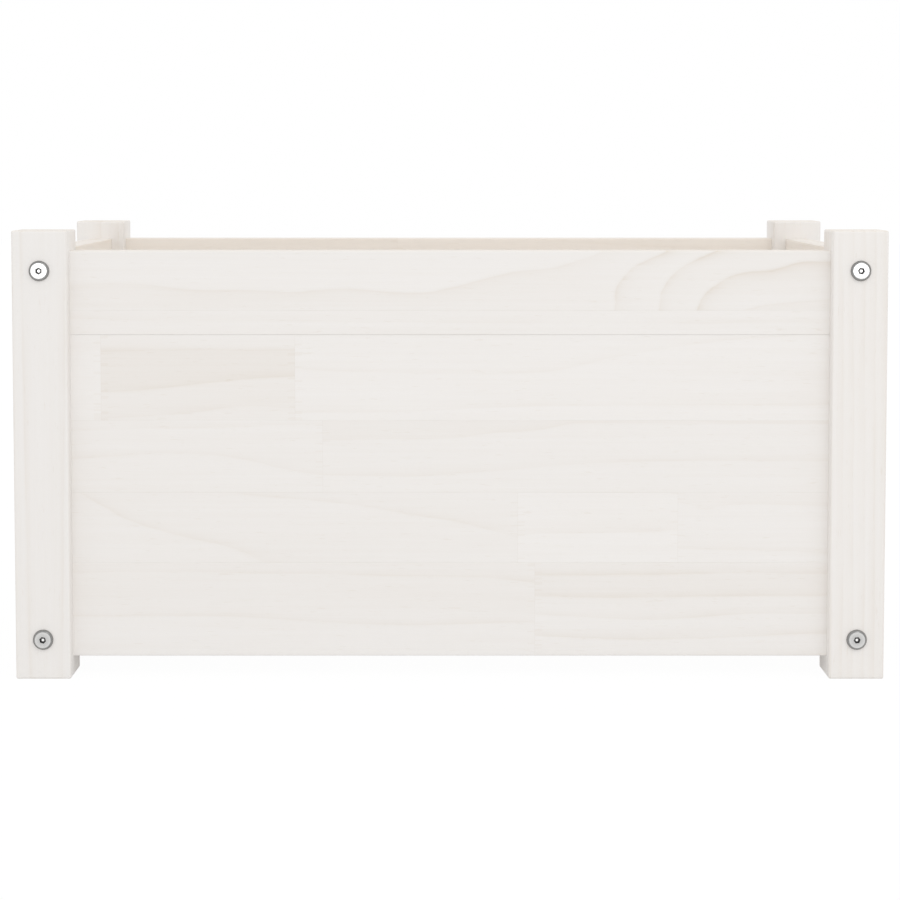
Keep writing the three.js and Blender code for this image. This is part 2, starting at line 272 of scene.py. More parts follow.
def washed_pine(name, strength=1.0):
    """Pine under a thin white wash. The grain follows the rings painted on each stave."""
    material, f = new_finish(name)
    place = f.node("ShaderNodeAttribute", {"attribute_name": "grain"}, output="Vector")
    ring, pitch, contrast = f.painted("ring")
    lightness, heartwood, end_grain = f.painted("tone")
    # The third joint number is wear of the wash, and on a wall's top edge also painted shade.
    from_glue, from_joint, wear = f.painted("joint")

    # Annual rings: each darkens towards its late wood and then stops short.
    sway = f.noise(place, (0.012, 0.09, 0.09), 2) - 0.5
    ragged = f.noise(place, (0.12, 0.9, 0.9), 2) - 0.5
    turn = ring + (sway * 3.0 + ragged * 0.9) / pitch
    within = f.node("ShaderNodeMath", {"operation": "FRACT"}, {0: turn})
    before = f.fade((1 - within) * pitch, 2.6)
    after = f.fade(within * pitch, 0.7)
    line = f.node("ShaderNodeMath", {"operation": "MAXIMUM"}, {0: before, 1: after})
    uneven = f.ramp(f.noise(place, (0.011, 0.07, 0.07), 2, 0.6), 0.35, 0.65)
    late = (line * (0.3 + uneven * 0.9) + within * within * 0.22) * contrast

    # Fibres, pores and the broad unevenness of the wash.
    streaks = f.noise(place, (0.005, 0.33, 0.33), 4, 0.6) - 0.5
    fibres = f.noise(place, (0.05, 2.2, 2.2), 3, 0.65) - 0.5
    cloud = f.noise(place, (0.01, 0.03, 0.03), 2) - 0.5
    pores = f.ramp(f.noise(place, (0.11, 1.3, 1.3), 1, 0.4), 0.71, 0.79)
    flecks = f.ramp(f.noise(place, (0.07, 0.42, 0.42), 2, 0.6), 0.64, 0.8)
    teeth = f.ramp(f.noise(place, (0.004, 0.55, 0.55), 0), 0.62, 0.66) * f.ramp(from_joint, 5.5, 4.5)

    marks = {
        "heartwood": heartwood,
        "late wood": late,
        "streaks": streaks,
        "fibres": fibres,
        "cloud": cloud,
        "pores": pores,
        "flecks": flecks,
        "joint teeth": teeth,
        "wear": wear,
        "end grain": end_grain,
        "late wood on end grain": end_grain * late,
    }
    bare = SHOWS_EVERYWHERE
    for mark, amount in marks.items():
        bare = bare + amount * SHOWS[mark]
    bare = f.node("ShaderNodeClamp", {}, {0: bare * strength})
    starved = f.ramp(f.noise(place, (0.02, 0.01, 0.01), 2), 0.45, 0.68)
    glue = f.ramp(from_glue, 0.5, 0.0) * (0.02 + starved * 0.15) + f.ramp(from_joint, 0.45, 0.0) * 0.07
    # A wall's inner faces take the lighter, warmer inside wash, which is painted bounce light.
    inner = f.node("ShaderNodeAttribute", {"attribute_name": "inner"}, output="Fac")
    wood = f.blend(bare, f.blend(inner, WHITE_WASH, INSIDE_BOUNCE_WASH), BARE_PINE)
    wood = f.blend(glue, wood, GLUE_LINE)
    wood = f.blend(1.0, wood, f.grey(1 + lightness + cloud * 0.012), "MULTIPLY")

    height = fibres * 0.5 + streaks * 0.5 - late * 0.6 - pores * 0.8 - f.ramp(from_glue, 0.4, 0.0) * 1.2
    bump = f.node("ShaderNodeBump", {}, {"Strength": 0.35, "Distance": 0.0002, "Height": height})
    surface = f.node("ShaderNodeBsdfPrincipled", {}, {
        "Base Color": wood,
        "Roughness": 0.62 + fibres * 0.12 + late * 0.06 + end_grain * 0.12,
        "Specular IOR Level": 0.35,
        "Normal": bump,
    })
    f.node("ShaderNodeOutputMaterial", {}, {"Surface": surface})
    return material


def bare_beech(name):
    """Turned beech with short flecks, for the dowels."""
    material, f = new_finish(name)
    place = f.node("ShaderNodeTexCoord", output="Object")
    fibres = f.noise(place, (60, 60, 700), 3)
    flecks = f.ramp(f.noise(place, (300, 300, 1500), 1), 0.62, 0.7)
    wood = f.blend(fibres * 0.5 + flecks * 0.3, linear(222, 196, 158), linear(176, 138, 96))
    surface = f.node("ShaderNodeBsdfPrincipled", {}, {"Base Color": wood, "Roughness": 0.6 + fibres * 0.15})
    f.node("ShaderNodeOutputMaterial", {}, {"Surface": surface})
    return material


def plated_steel(name, shade):
    """Zinc-plated steel. Each turned face has its own brightness, which on a bolt paints a glint, shade and
    reflections, and fine tool marks round the axis.
    """
    material, f = new_finish(name)
    bright, radius, rough = f.painted("turned")
    place = f.node("ShaderNodeTexCoord", output="Object")
    marks = f.noise(f.node("ShaderNodeCombineXYZ", {}, {0: radius}), (3.5, 1, 1), 3) - 0.5
    clouds = f.noise(place, (500, 500, 500), 2) - 0.5
    level = bright * (1 + marks * 0.12 + clouds * 0.14)
    metal = f.blend(1.0, f.grey(level), shade, "MULTIPLY")
    bump = f.node("ShaderNodeBump", {}, {"Strength": 0.12, "Distance": 0.0001, "Height": marks})
    surface = f.node("ShaderNodeBsdfPrincipled", {}, {
        "Base Color": metal, "Metallic": 1.0, "Roughness": rough + clouds * 0.06, "Normal": bump})
    f.node("ShaderNodeOutputMaterial", {}, {"Surface": surface})
    return material


POST_WOOD = washed_pine("post_wood")
BOARD_WOOD = washed_pine("board_wood")
FLOOR_WOOD = washed_pine("floor_wood", 1.15)
DOWEL_WOOD = bare_beech("dowel_wood")
BOLT_STEEL = plated_steel("bolt_steel", (1.0, 0.995, 0.98, 1.0))
NUT_STEEL = plated_steel("nut_steel", (1.0, 0.985, 0.94, 1.0))


# Rings in the timber.

# Drawn grain lines: the unit of length they are fitted in, how loosely, and a gap too small to matter.
PLATE_SCALE = 100
PLATE_SLACK = 1e-4
NO_GAP = 1e-9

# Where a log's heart runs, measured from a stave's middle, and how far it strays from the grain.
HEART_ACROSS = (-40, 40)
HEART_DEPTH = (16, 60)
HEART_RISE = 0.02
HEART_LEAN = 0.06

# Glued rows: lengths of their staves, and how much each stave differs from the next.
STAVE_LENGTHS = (190, 340)
SHORTEST_STAVE = 40
PITCH_RANGE = (0.8, 1.3)
CONTRAST_RANGE = (0.35, 0.9)
LIGHTNESS_SPREAD = 0.006
HEARTWOOD = (0.1, 0.18)


def drawn_rings(lines, stretch, slope):
    """Ring numbers over a face from grain lines drawn on it, as a thin plate bent through their numbers."""
    points = np.array([(along / stretch, across) for line in lines.values() for along, across in line])
    numbers = np.array([number for number, line in lines.items() for _ in line], float)

    def kernel(first, second):
        gap = np.linalg.norm(first[:, None] - second[None], axis=2) / PLATE_SCALE
        return gap ** 2 * np.log(gap + NO_GAP)

    bent = kernel(points, points) + PLATE_SLACK * np.eye(len(points))
    flat = np.column_stack([np.ones(len(points)), points / PLATE_SCALE])
    system = np.block([[bent, flat], [flat.T, np.zeros((3, 3))]])
    weights = np.linalg.solve(system, np.concatenate([numbers, np.zeros(3)]))

    def rings(along, across, depth):
        places = np.column_stack([along / stretch, across])
        plane = np.column_stack([np.ones(len(places)), places / PLATE_SCALE])
        inward = depth + BOARD_THICKNESS / 2
        return kernel(places, points) @ weights[:-3] + plane @ weights[-3:] + inward * slope

    return rings


def sawn_rings(random, middle, pitch, straightness=1.0):
    """Ring numbers in a stave sawn from a log whose heart runs past it, nearly along the grain."""
    across = middle + random.uniform(*HEART_ACROSS)
    depth = random.uniform(*HEART_DEPTH) * random.choice((-1, 1))
    rise = random.normal(0, HEART_RISE) / straightness
    lean = random.normal(0, HEART_LEAN) / straightness
    return lambda a, c, d: np.hypot(c - across - rise * a, d - depth - lean * a) / pitch


class Stave:
    """One length of timber in a board, between two cuts along the grain and two across it."""

    def __init__(self, ends, edges, rings, seed, contrast=1.0, lightness=0.0, heartwood=0.0):
        """Contrast and heartwood are each one value, or a list of (ring number, value)."""
        self.ends = ends
        self.edges = edges
        self.rings = rings
        self.contrast = self.by_ring(contrast)
        self.lightness = lightness
        self.heartwood = self.by_ring(heartwood)
        self.offset = np.random.default_rng(seed).uniform(0, 4000, 3)

    def by_ring(self, value):
        """A function from ring numbers to values."""
        numbers, values = zip(*(value if isinstance(value, list) else [(0, value)]))
        return lambda ring: np.interp(ring, numbers, values)

    def holds(self, along, across):
        inside = (self.ends[0] <= along) & (along < self.ends[1])
        return inside & (self.edges[0] <= across) & (across < self.edges[1])


def sawn_staves(seed, length, edges, pitch=7.0, solid=False, straightness=1.0):
    """Rows of staves along a board, each row glued from shorter lengths unless the timber is solid."""
    random = np.random.default_rng(seed)
    staves = []
    for low, high in zip(edges, edges[1:]):
        start = -length / 2
        while start < length / 2:
            end = start + (length if solid else random.uniform(*STAVE_LENGTHS))
            if end > length / 2 - SHORTEST_STAVE:
                end = length / 2
            own_pitch = pitch * random.uniform(*PITCH_RANGE)
            rings = sawn_rings(random, (low + high) / 2, own_pitch, straightness)
            staves.append(Stave(
                (start, end), (low, high), rings, int(random.integers(1e6)),
                contrast=random.uniform(*CONTRAST_RANGE),
                lightness=random.normal(0, LIGHTNESS_SPREAD),
                heartwood=max(0.0, random.normal(*HEARTWOOD)),
            ))
            start = end
    return staves


# Timber shapes.

# Points round an eased long corner and an eased end, and the shortest run worth a point of its own.
ARC_POINTS = 5
END_ARC_POINTS = 4
LEAST_RUN = 0.15


def add_object(name, data):
    """A new object in the scene."""
    made = bpy.data.objects.new(name, data)
    bpy.context.scene.collection.objects.link(made)
    return made


def section(corners, marks):
    """A closed cross-section through corners of (across, depth, radius), with points at the marks."""
    points = []
    count = len(corners)
    for i, (across, depth, radius) in enumerate(corners):
        here = np.array([across, depth])
        back = np.array(corners[i - 1][:2]) - here
        ahead = np.array(corners[(i + 1) % count][:2]) - here
        to_next = np.linalg.norm(ahead)
        back = back / np.linalg.norm(back)
        ahead = ahead / to_next
        centre = here + radius * (back + ahead)
        for turn in np.linspace(0, math.pi / 2, ARC_POINTS):
            points.append(centre - radius * (ahead * math.cos(turn) + back * math.sin(turn)))
        run = to_next - radius - corners[(i + 1) % count][2]
        start = points[-1]
        if abs(ahead[0]) > 0.5:
            inner = sorted((m - start[0]) * ahead[0] for m in marks)
        else:
            inner = [step * run for step in np.linspace(0, 1, max(2, round(run / GRID) + 1))]
        points.extend(start + ahead * s for s in inner if LEAST_RUN < s < run - LEAST_RUN)
    return np.array(points)


def loft(name, rows, axes, origin):
    """A closed body through rows of (along, across, depth) points, set out on three axes from an origin."""
    count = len(rows[0])
    local = np.concatenate(rows)
    places = (local @ np.array(axes, float) + np.array(origin, float)) * MM
    faces = [tuple(range(count)), tuple(range(len(local) - count, len(local)))]
    for r in range(len(rows) - 1):
        here = r * count
        for i in range(count):
            after = (i + 1) % count
            faces.append((here + i, here + after, here + count + after, here + count + i))
    mesh = bpy.data.meshes.new(name)
    mesh.from_pydata(places.tolist(), [], faces)
    shape = bmesh.new()
    shape.from_mesh(mesh)
    bmesh.ops.recalc_face_normals(shape, faces=shape.faces)
    shape.to_mesh(mesh)
    shape.free()
    return add_object(name, mesh)


def timber_rows(outline_at, stations, ends, ease, cap_rings):
    """Rows of a length of timber between two ends, with eased and closed end faces."""
    def row(along, inset, scale=1.0):
        points = outline_at(inset)
        middle = (points.min(axis=0) + points.max(axis=0)) / 2
        points = middle + (points - middle) * scale
        return np.column_stack([np.full(len(points), along), points])

    turns = np.linspace(0, math.pi / 2, END_ARC_POINTS) if ease else [math.pi / 2]
    start = [row(ends[0], ease, k / cap_rings) for k in range(1, cap_rings)]
    start += [row(ends[0] + ease * (1 - math.cos(t)), ease * (1 - math.sin(t))) for t in turns]
    finish = [row(ends[1] - ease * (1 - math.cos(t)), ease * (1 - math.sin(t))) for t in reversed(turns)]
    finish += [row(ends[1], ease, k / cap_rings) for k in range(cap_rings - 1, 0, -1)]
    reach = ease + LEAST_EASE
    middle = [row(s, 0) for s in stations if ends[0] + reach < s < ends[1] - reach]
    return start + middle + finish


def cut(body, cutters):
    """Takes the cutters' shapes out of a body."""
    for cutter in cutters:
        change = body.modifiers.new("cut", "BOOLEAN")
        change.object = cutter
        change.operation = "DIFFERENCE"
    bpy.context.view_layer.update()
    shaped = body.evaluated_get(bpy.context.evaluated_depsgraph_get())
    body.data = bpy.data.meshes.new_from_object(shaped)
    body.modifiers.clear()
    for cutter in cutters:
        bpy.data.objects.remove(cutter)


def turned(name, profile, axes, origin, sides=ROUND_SIDES):
    """A turned body along the first axis through (along, radius) points."""
    angles = np.arange(sides) * 2 * math.pi / sides
    rows = [np.column_stack([np.full(sides, along), radius * np.cos(angles), radius * np.sin(angles)])
            for along, radius in profile]
    return loft(name, rows, axes, origin)


# Painting: a distance that stands for no joint near, the step over which ring numbers are compared,
# limits to their steepness, how squarely a face has to look along an axis, and a hair inside a stave.
FAR = 99.0
PROBE = 0.5
RING_STEEPNESS = (0.02, 0.6)
FACING = 0.7
JUST_INSIDE = 0.01


def paint_timber(body, staves, axes, origin, wear, is_wall=False):
    """Paints each face with its stave's grain, rings and tone, its joints and wear (with painted shade on a
    wall's top edge), and a wall's inside, which takes painted bounce light.
    """
    mesh = body.data
    axes = np.array(axes, float)
    places = np.zeros(len(mesh.vertices) * 3)
    mesh.vertices.foreach_get("co", places)
    local = (places.reshape(-1, 3) / MM - np.array(origin, float)) @ axes.T
    corner_vertex = np.zeros(len(mesh.loops), int)
    mesh.loops.foreach_get("vertex_index", corner_vertex)
    totals = np.array([len(face.vertices) for face in mesh.polygons])
    normals = np.array([face.normal for face in mesh.polygons]) @ axes.T
    corner_face = np.repeat(np.arange(len(totals)), totals)
    corner = local[corner_vertex]
    face_middle = np.zeros((len(totals), 3))
    np.add.at(face_middle, corner_face, corner)
    face_middle /= totals[:, None]

    grain = np.zeros((len(corner), 3), np.float32)
    ring = np.ones((len(corner), 3), np.float32)
    tone = np.zeros((len(corner), 3), np.float32)
    joint = np.full((len(corner), 3), FAR, np.float32)
    # Faces of a wall that look into the box are marked for painted bounce light.
    inner = (normals[:, 2] > FACING) & is_wall
    far_end = [f(stave.ends[k] for stave in staves) for k, f in ((0, min), (1, max))]
    far_edge = [f(stave.edges[k] for stave in staves) for k, f in ((0, min), (1, max))]
    along = np.clip(face_middle[:, 0], far_end[0] + JUST_INSIDE, far_end[1] - JUST_INSIDE)
    across = np.clip(face_middle[:, 1], far_edge[0] + JUST_INSIDE, far_edge[1] - JUST_INSIDE)
    for stave in staves:
        mine = stave.holds(along, across)[corner_face]
        if not mine.any():
            continue
        a, c, d = corner[mine].T
        here = stave.rings(a, c, d)
        steps = [(stave.rings(a + u, c + v, d + w) - here) / PROBE for u, v, w in np.eye(3) * PROBE]
        across_face = normals[corner_face][mine]
        steps = np.column_stack(steps)
        steps -= across_face * np.sum(steps * across_face, axis=1)[:, None]
        pitch = 1 / np.clip(np.linalg.norm(steps, axis=1), *RING_STEEPNESS)
        grain[mine] = corner[mine] + stave.offset
        ring[mine] = np.column_stack([here, pitch, stave.contrast(here)])
        tone[mine, 0] = stave.lightness
        tone[mine, 1] = stave.heartwood(here)
        from_edge = [abs(c - e) if e not in far_edge else np.full(len(c), FAR) for e in stave.edges]
        from_end = [abs(a - e) if e not in far_end else np.full(len(a), FAR) for e in stave.ends]
        joint[mine, 0] = np.minimum(*from_edge)
        joint[mine, 1] = np.minimum(*from_end)
    tone[:, 2] = np.abs(normals[corner_face][:, 0]) > FACING
    joint[:, 2] = wear(corner)
    for name, values in (("grain", grain), ("ring", ring), ("tone", tone), ("joint", joint)):
        layer = mesh.attributes.new(name, "FLOAT_VECTOR", "CORNER")
        layer.data.foreach_set("vector", values.ravel())
    layer = mesh.attributes.new("inner", "FLOAT", "CORNER")
    layer.data.foreach_set("value", inner[corner_face].astype(np.float32))


def set_piece(body, material, slot, *nodes):
    """Gives a body its finish and sets it in the place of its CAD nodes."""
    body.data.materials.clear()
    body.data.materials.append(material)
    body.data.shade_smooth()
    body.data.set_sharp_from_angle(angle=math.radians(35))
    even = body.modifiers.new("even shading", "WEIGHTED_NORMAL")
    even.keep_sharp = True
    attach(body, "root")
    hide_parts(*nodes)


def corner_box(node):
    """A CAD node's lowest and highest corner in millimetres."""
    return [np.array(corner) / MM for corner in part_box(node)]


def grid(low, high, extra=()):
    """Marks every few millimetres between two limits, with any others that are wanted."""
    marks = np.concatenate([np.arange(low, high, GRID), np.array(list(extra), float)])
    return sorted(set(np.round(marks, 3)))


def beam(node, material, slot, along, across, depth, ease, end_ease, staves, cutters=()):
    """A square-sectioned length of timber in a node's place, eased all round and worn along its edges."""
    low, high = corner_box(node)
    axes = (along, across, depth)
    origin = (low + high) / 2
    length, width, thickness = [abs(np.dot(high - low, axis)) for axis in axes]
    ends = (-length / 2, length / 2)

    def outline_at(inset):
        radius = max(ease - inset, LEAST_EASE)
        right, back = width / 2 - inset, thickness / 2 - inset
        corners = [(-right, -back, radius), (right, -back, radius),
                   (right, back, radius), (-right, back, radius)]
        return section(corners, grid(-width / 2 + GRID / 2, width / 2))

    def wear(places):
        """From 0 on the faces to 1 on the eased edges."""
        beside, behind = abs(places[:, 1]) - width / 2, abs(places[:, 2]) - thickness / 2
        return np.clip((np.minimum(beside, behind) + ease) / (EDGE_WORN_REACH * ease), 0, 1)

    rows = timber_rows(outline_at, grid(*ends), ends, end_ease, CAP_RINGS)
    body = loft("visual_" + node, rows, axes, origin)
    if cutters:
        cut(body, cutters)
    paint_timber(body, staves, axes, origin, wear)
    set_piece(body, material, slot, node)


def worn_and_shaded_top(places):
    """Wear and painted shade on a wall's top edge, which darken the highlight it catches from above and are
    0 below it.
    """
    return WALL_WEAR_AND_SHADE * np.clip((places[:, 1] - WALL_TOP_EDGE_FROM) / BOARD_EASE, 0, 1)


def wall_board(node, along, inward, staves, cutters=()):
    """A wall board in a node's place. Heights are kept, so that its staves are given from the ground up."""
    low, high = corner_box(node)
    axes = (along, Z, inward)
    origin = (low + high) / 2 * (1 - Z)
    length = abs(np.dot(high - low, along)) + 2 * TIGHT_FIT
    half = BOARD_THICKNESS / 2
    bottom = low[2]
    if node.endswith("lower_panel"):
        top = PANEL_TOP
        tongue, reach = TONGUE[0] / 2, TONGUE[1]
        corners = [
            (bottom, -half, BOARD_EASE), (top, -half, SEAM_EASE),
            (top, -tongue, LEAST_EASE), (top + reach, -tongue, TONGUE_EASE),
            (top + reach, tongue, TONGUE_EASE), (top, tongue, LEAST_EASE),
            (top, half, SEAM_EASE), (bottom, half, BOARD_EASE),
        ]
    else:
        top = high[2]
        groove, reach = GROOVE[0] / 2, GROOVE[1]
        corners = [
            (bottom, -half, SEAM_EASE), (top, -half, BOARD_EASE),
            (top, half, BOARD_EASE), (bottom, half, SEAM_EASE),
            (bottom, groove, LEAST_EASE), (bottom + reach, groove, TONGUE_EASE),
            (bottom + reach, -groove, TONGUE_EASE), (bottom, -groove, LEAST_EASE),
        ]
    edges = {edge for stave in staves for edge in stave.edges if bottom < edge < top}
    outline = section(corners, grid(bottom, top, edges))
    ends = (-length / 2, length / 2)
    stations = grid(*ends, {end for stave in staves for end in stave.ends})
    rows = timber_rows(lambda inset: outline, stations, ends, ease=0, cap_rings=1)
    body = loft("visual_" + node, rows, axes, origin)
    if cutters:
        cut(body, cutters)
    paint_timber(body, staves, axes, origin, worn_and_shaded_top, is_wall=True)
    set_piece(body, BOARD_WOOD, "board_wood", node)


# The front wall, whose staves and grain lines are laid out one by one. Places are along the wall from
# its middle and up from the ground. After its numbered grain lines each stave has their stretch and
# their slope inwards, its seed, its contrast, its lightness and its heartwood.

FRONT_PANEL = [
    Stave((-262, -241), (178.6, 250), drawn_rings({
        1: [(-262, 226), (-241, 227)], 2: [(-262, 160), (-241, 160)]}, 4, 0.02), 11, 0.3, 0.004),
    Stave((-241, -107), (178.6, 250), drawn_rings({
        1: [(-241, 227), (-173, 227), (-107, 227)],
        2: [(-241, 198), (-208, 200), (-173, 204), (-145, 207), (-107, 209)],
        3: [(-241, 180), (-208, 182), (-180, 184), (-139, 189), (-107, 187)]}, 4, 0.03), 12, 0.7, 0.0,
        [(0.9, 0.05), (1.0, 0.75), (1.9, 0.65), (2.0, 0.35), (3, 0.3)]),
    Stave((-107, 262), (178.6, 250), drawn_rings({
        0: [(-107, 262), (262, 244)],
        1: [(-107, 215), (60, 212), (190, 234), (262, 238)],
        2: [(-107, 184), (60, 189), (170, 189), (262, 190)]}, 5, 0.025), 13, 0.45, 0.004, 0.04),
    Stave((-262, -88), (128.4, 178.6), drawn_rings({
        1: [(-262, 172), (-160, 174), (-88, 176)],
        2: [(-228, 154), (-175, 156), (-124, 147), (-91, 141)],
        3: [(-262, 120), (-175, 124), (-91, 112)]}, 5, 0.03), 14, 0.4, 0.0, 0.12),
    Stave((-88, 262), (128.4, 178.6), drawn_rings({
        1: [(-88, 192), (100, 190), (262, 200)],
        2: [(-7, 166), (14, 168), (35, 171), (49, 171), (68, 173), (82, 177)],
        3: [(-88, 141), (-29, 140), (80, 148), (262, 150)]}, 5, 0.03), 15, 0.5, 0.0,
        [(1, 0.34), (1.7, 0.3), (2.0, 0.14), (3, 0.1)]),
    Stave((-262, 47), (79.3, 128.4), drawn_rings({
        1: [(-161, 130), (-91, 123), (-51, 117), (0, 109), (33, 101)],
        2: [(-256, 128), (-223, 110), (-193, 100), (-152, 91), (-131, 81)],
        0.45: [(-20, 128), (47, 120)],
        1.55: [(-100, 106), (-57, 98), (-22, 91)]}, 4, 0.03), 16, 0.55, 0.0, 0.15),
    Stave((47, 158), (79.3, 128.4), drawn_rings({
        1: [(49, 99), (104, 100), (159, 103)],
        0: [(49, 140), (104, 143), (159, 150)]}, 5, 0.03), 17, 0.6, 0.006, 0.0),
    Stave((158, 262), (79.3, 128.4), drawn_rings({
        1: [(158, 121), (168, 120), (177, 116), (186, 119), (205, 121), (262, 119)],
        2: [(158, 90), (220, 88), (262, 86)]}, 2.2, 0.02), 18, 0.45, 0.002, 0.08),
    Stave((-262, 59), (14, 79.3), drawn_rings({
        1: [(-262, 73), (-139, 72)],
        1.2: [(-135, 67), (-35, 64), (21, 63), (66, 57)],
        2: [(-251, 42), (-173, 42), (-35, 36), (59, 38)],
        3: [(-262, 8), (59, 2)]}, 5, 0.03), 19, 0.6, 0.0,
        [(1, 0.2), (1.3, 0.3), (1.6, 0.25), (1.8, 0.05)]),
    Stave((59, 262), (14, 79.3), drawn_rings({
        1: [(149, 71), (186, 72), (246, 72)],
        2: [(208, 56), (263, 56), (60, 56)],
        3: [(66, 43), (97, 41), (132, 39), (173, 41), (215, 44)]}, 5, 0.03), 20, 0.85, 0.0,
        [(0.8, 0.2), (1.0, 0.42), (1.9, 0.36), (2.2, 0.08), (3, 0.0)]),
]

FRONT_TOP = [
    Stave((-262, 262), (200, 254.7), sawn_rings(np.random.default_rng(31), 300, 9), 21, 0.35, 0.0, 0.1),
    Stave((-262, 262), (254.7, 296), drawn_rings({
        6: [(-261, 273), (-210, 273), (-180, 269), (-104, 267),
            (-16, 267), (0, 270), (49, 282), (100, 293)],
        5: [(113, 254), (115, 271), (126, 284), (146, 294)],
        4: [(144, 254), (147, 271), (159, 284), (184, 296)],
        3: [(170, 254), (184, 273), (199, 280), (221, 282), (243, 288), (261, 288)],
        2: [(201, 253), (234, 260), (263, 263)],
        6.5: [(-261, 296), (-100, 296), (20, 296)],
        5.5: [(-261, 255), (-100, 255), (10, 255), (60, 255)]}, 1.6, -0.03), 22,
        [(2, 0.8), (3, 1.5), (5, 1.5), (5.8, 0.8), (6, 0.75)], 0.0,
        [(2, 0.15), (2.95, 0.35), (3.05, 0.2), (4, 0.15), (5, 0.15), (5.9, 0.22), (6.05, 0.0)]),
]

LOWER_ROWS = (14, 79.3, 128.4, 178.6, 250)
OTHER_ROWS = (14, 62, 121, 170, 250)
TOP_ROWS = (200, 254.7, 296)
OTHER_TOP_ROWS = (200, 271, 296)


def bolt_bores(wall_side, end_side):
    """Cutters for the two bolt bores through a post, from its outer face."""
    profile = [(-1, BOLT_BORE), (POST_SIDE + 1, BOLT_BORE)]
    axes = (Y * -end_side, X, Z)
    outer = X * wall_side * BOLT_PLACE + Y * end_side * POST_FACE
    return [turned("bore", profile, axes, outer + Z * height) for height in BOLT_HEIGHTS.values()]


def nut_bores(side, height):
    """Cutters for the two barrel-nut bores of a side board, from its inner face."""
    inner = side * (BOLT_PLACE - BOARD_THICKNESS / 2)
    profile = [(-1, NUT_BORE), (NUT_BORE_DEPTH, NUT_BORE)]
    axes = (X * side, Y, Z)
    return [turned("bore", profile, axes, (inner, y, height)) for y in (-NUT_PLACE, NUT_PLACE)]


def screw_sinks(side):
    """Cutters for the countersunk screw heads of a batten."""
    wide = SCREW_HEAD + SINK_PLAY
    profile = [(-1, wide), (0, wide), (SINK_CONE, wide - SINK_CONE), (SINK_DEPTH, SCREW_SHANK + SINK_PLAY)]
    axes = (Y * side, X, Z)
    return [turned("sink", profile, axes, (x, side * BATTEN_FACE, SCREW_HEIGHT)) for x in SCREW_PLACES]


wall_board("front_lower_panel", X, Y, FRONT_PANEL)
wall_board("front_top_board", X, Y, FRONT_TOP)
wall_board("rear_lower_panel", -X, -Y, sawn_staves(41, LONG_WALL_BLANK, OTHER_ROWS))
wall_board("rear_top_board", -X, -Y, sawn_staves(42, LONG_WALL_BLANK, TOP_ROWS))
for (wall, side), seed, rows in zip(WALLS, (51, 61), (LOWER_ROWS, OTHER_ROWS)):
    lower = sawn_staves(seed, SIDE_WALL_BLANK, rows)
    upper = sawn_staves(seed + 1, SIDE_WALL_BLANK, OTHER_TOP_ROWS)
    wall_board(wall + "_lower_panel", Y * side, -X * side, lower, nut_bores(side, BOLT_HEIGHTS["lower"]))
    wall_board(wall + "_top_board", Y * side, -X * side, upper, nut_bores(side, BOLT_HEIGHTS["upper"]))

for row, (end, end_side) in enumerate(ENDS):
    for column, (wall, wall_side) in enumerate(WALLS):
        seed = 71 + 2 * row + column
        staves = sawn_staves(seed, *POST_BLANK, pitch=6.0, solid=True, straightness=5.0)
        beam(f"post_{end}_{wall}", POST_WOOD, "post_wood", Z, X, Y, POST_EASE, POST_END_EASE, staves,
             bolt_bores(wall_side, end_side))

for seed, (end, side) in enumerate(ENDS, 81):
    staves = sawn_staves(seed, *BATTEN_BLANK, pitch=4.5, solid=True)
    beam("floor_batten_" + end, FLOOR_WOOD, "floor_wood", X, Z, Y, BATTEN_EASE, BATTEN_END_EASE, staves,
         screw_sinks(side))
for number in range(1, 6):
    staves = sawn_staves(90 + number, *SLAT_BLANK, pitch=5.5, solid=True)
    beam(f"floor_slat_{number}", FLOOR_WOOD, "floor_wood", Y, X, Z, SLAT_EASE, SLAT_END_EASE, staves)


# Fasteners. A shine is how bright a turned face is and how rough. On a bolt some of this brightness is
# painted light: a glint on the boss in the socket, shade in the socket, a reflection that lightens the
# head's flat outwards, and a dark rim that stands in for darker surroundings reflected in it.

# The boss's bright, smooth shine is a painted glint, and the socket's dark shine is painted shade.
BOSS_GLINT = (0.95, 0.06)
SOCKET_SHADE = (0.13, 0.3)
HEAD_SHINE = (0.46, 0.14)
# The flat of a bolt's head lightens outwards, a painted reflection.
HEAD_REFLECTION_RISE = 0.04
# This dark shine also covers a bolt's rounded rim, where it is a painted dark reflection.
DARK_RIM_AND_SHANK = (0.28, 0.22)
NUT_SHINE = (0.62, 0.3)
SCREW_HEAD_SHINE = (0.62, 0.28)
THREAD_SHINE = (0.4, 0.28)


def paint_turned(body, axes, origin, shine_at):
    """Paints each turned face with its brightness, its distance from the axis and its roughness."""
    mesh = body.data
    axes = np.array(axes, float)
    values = np.zeros((len(mesh.loops), 3), np.float32)
    for face in mesh.polygons:
        middle = (np.array(face.center) / MM - origin) @ axes.T
        bright, rough = shine_at(middle[0], math.hypot(middle[1], middle[2]))
        for index in face.loop_indices:
            place = (np.array(mesh.vertices[mesh.loops[index].vertex_index].co) / MM - origin) @ axes.T
            values[index] = (bright, math.hypot(place[1], place[2]), rough)
    layer = mesh.attributes.new("turned", "FLOAT_VECTOR", "CORNER")
    layer.data.foreach_set("vector", values.ravel())


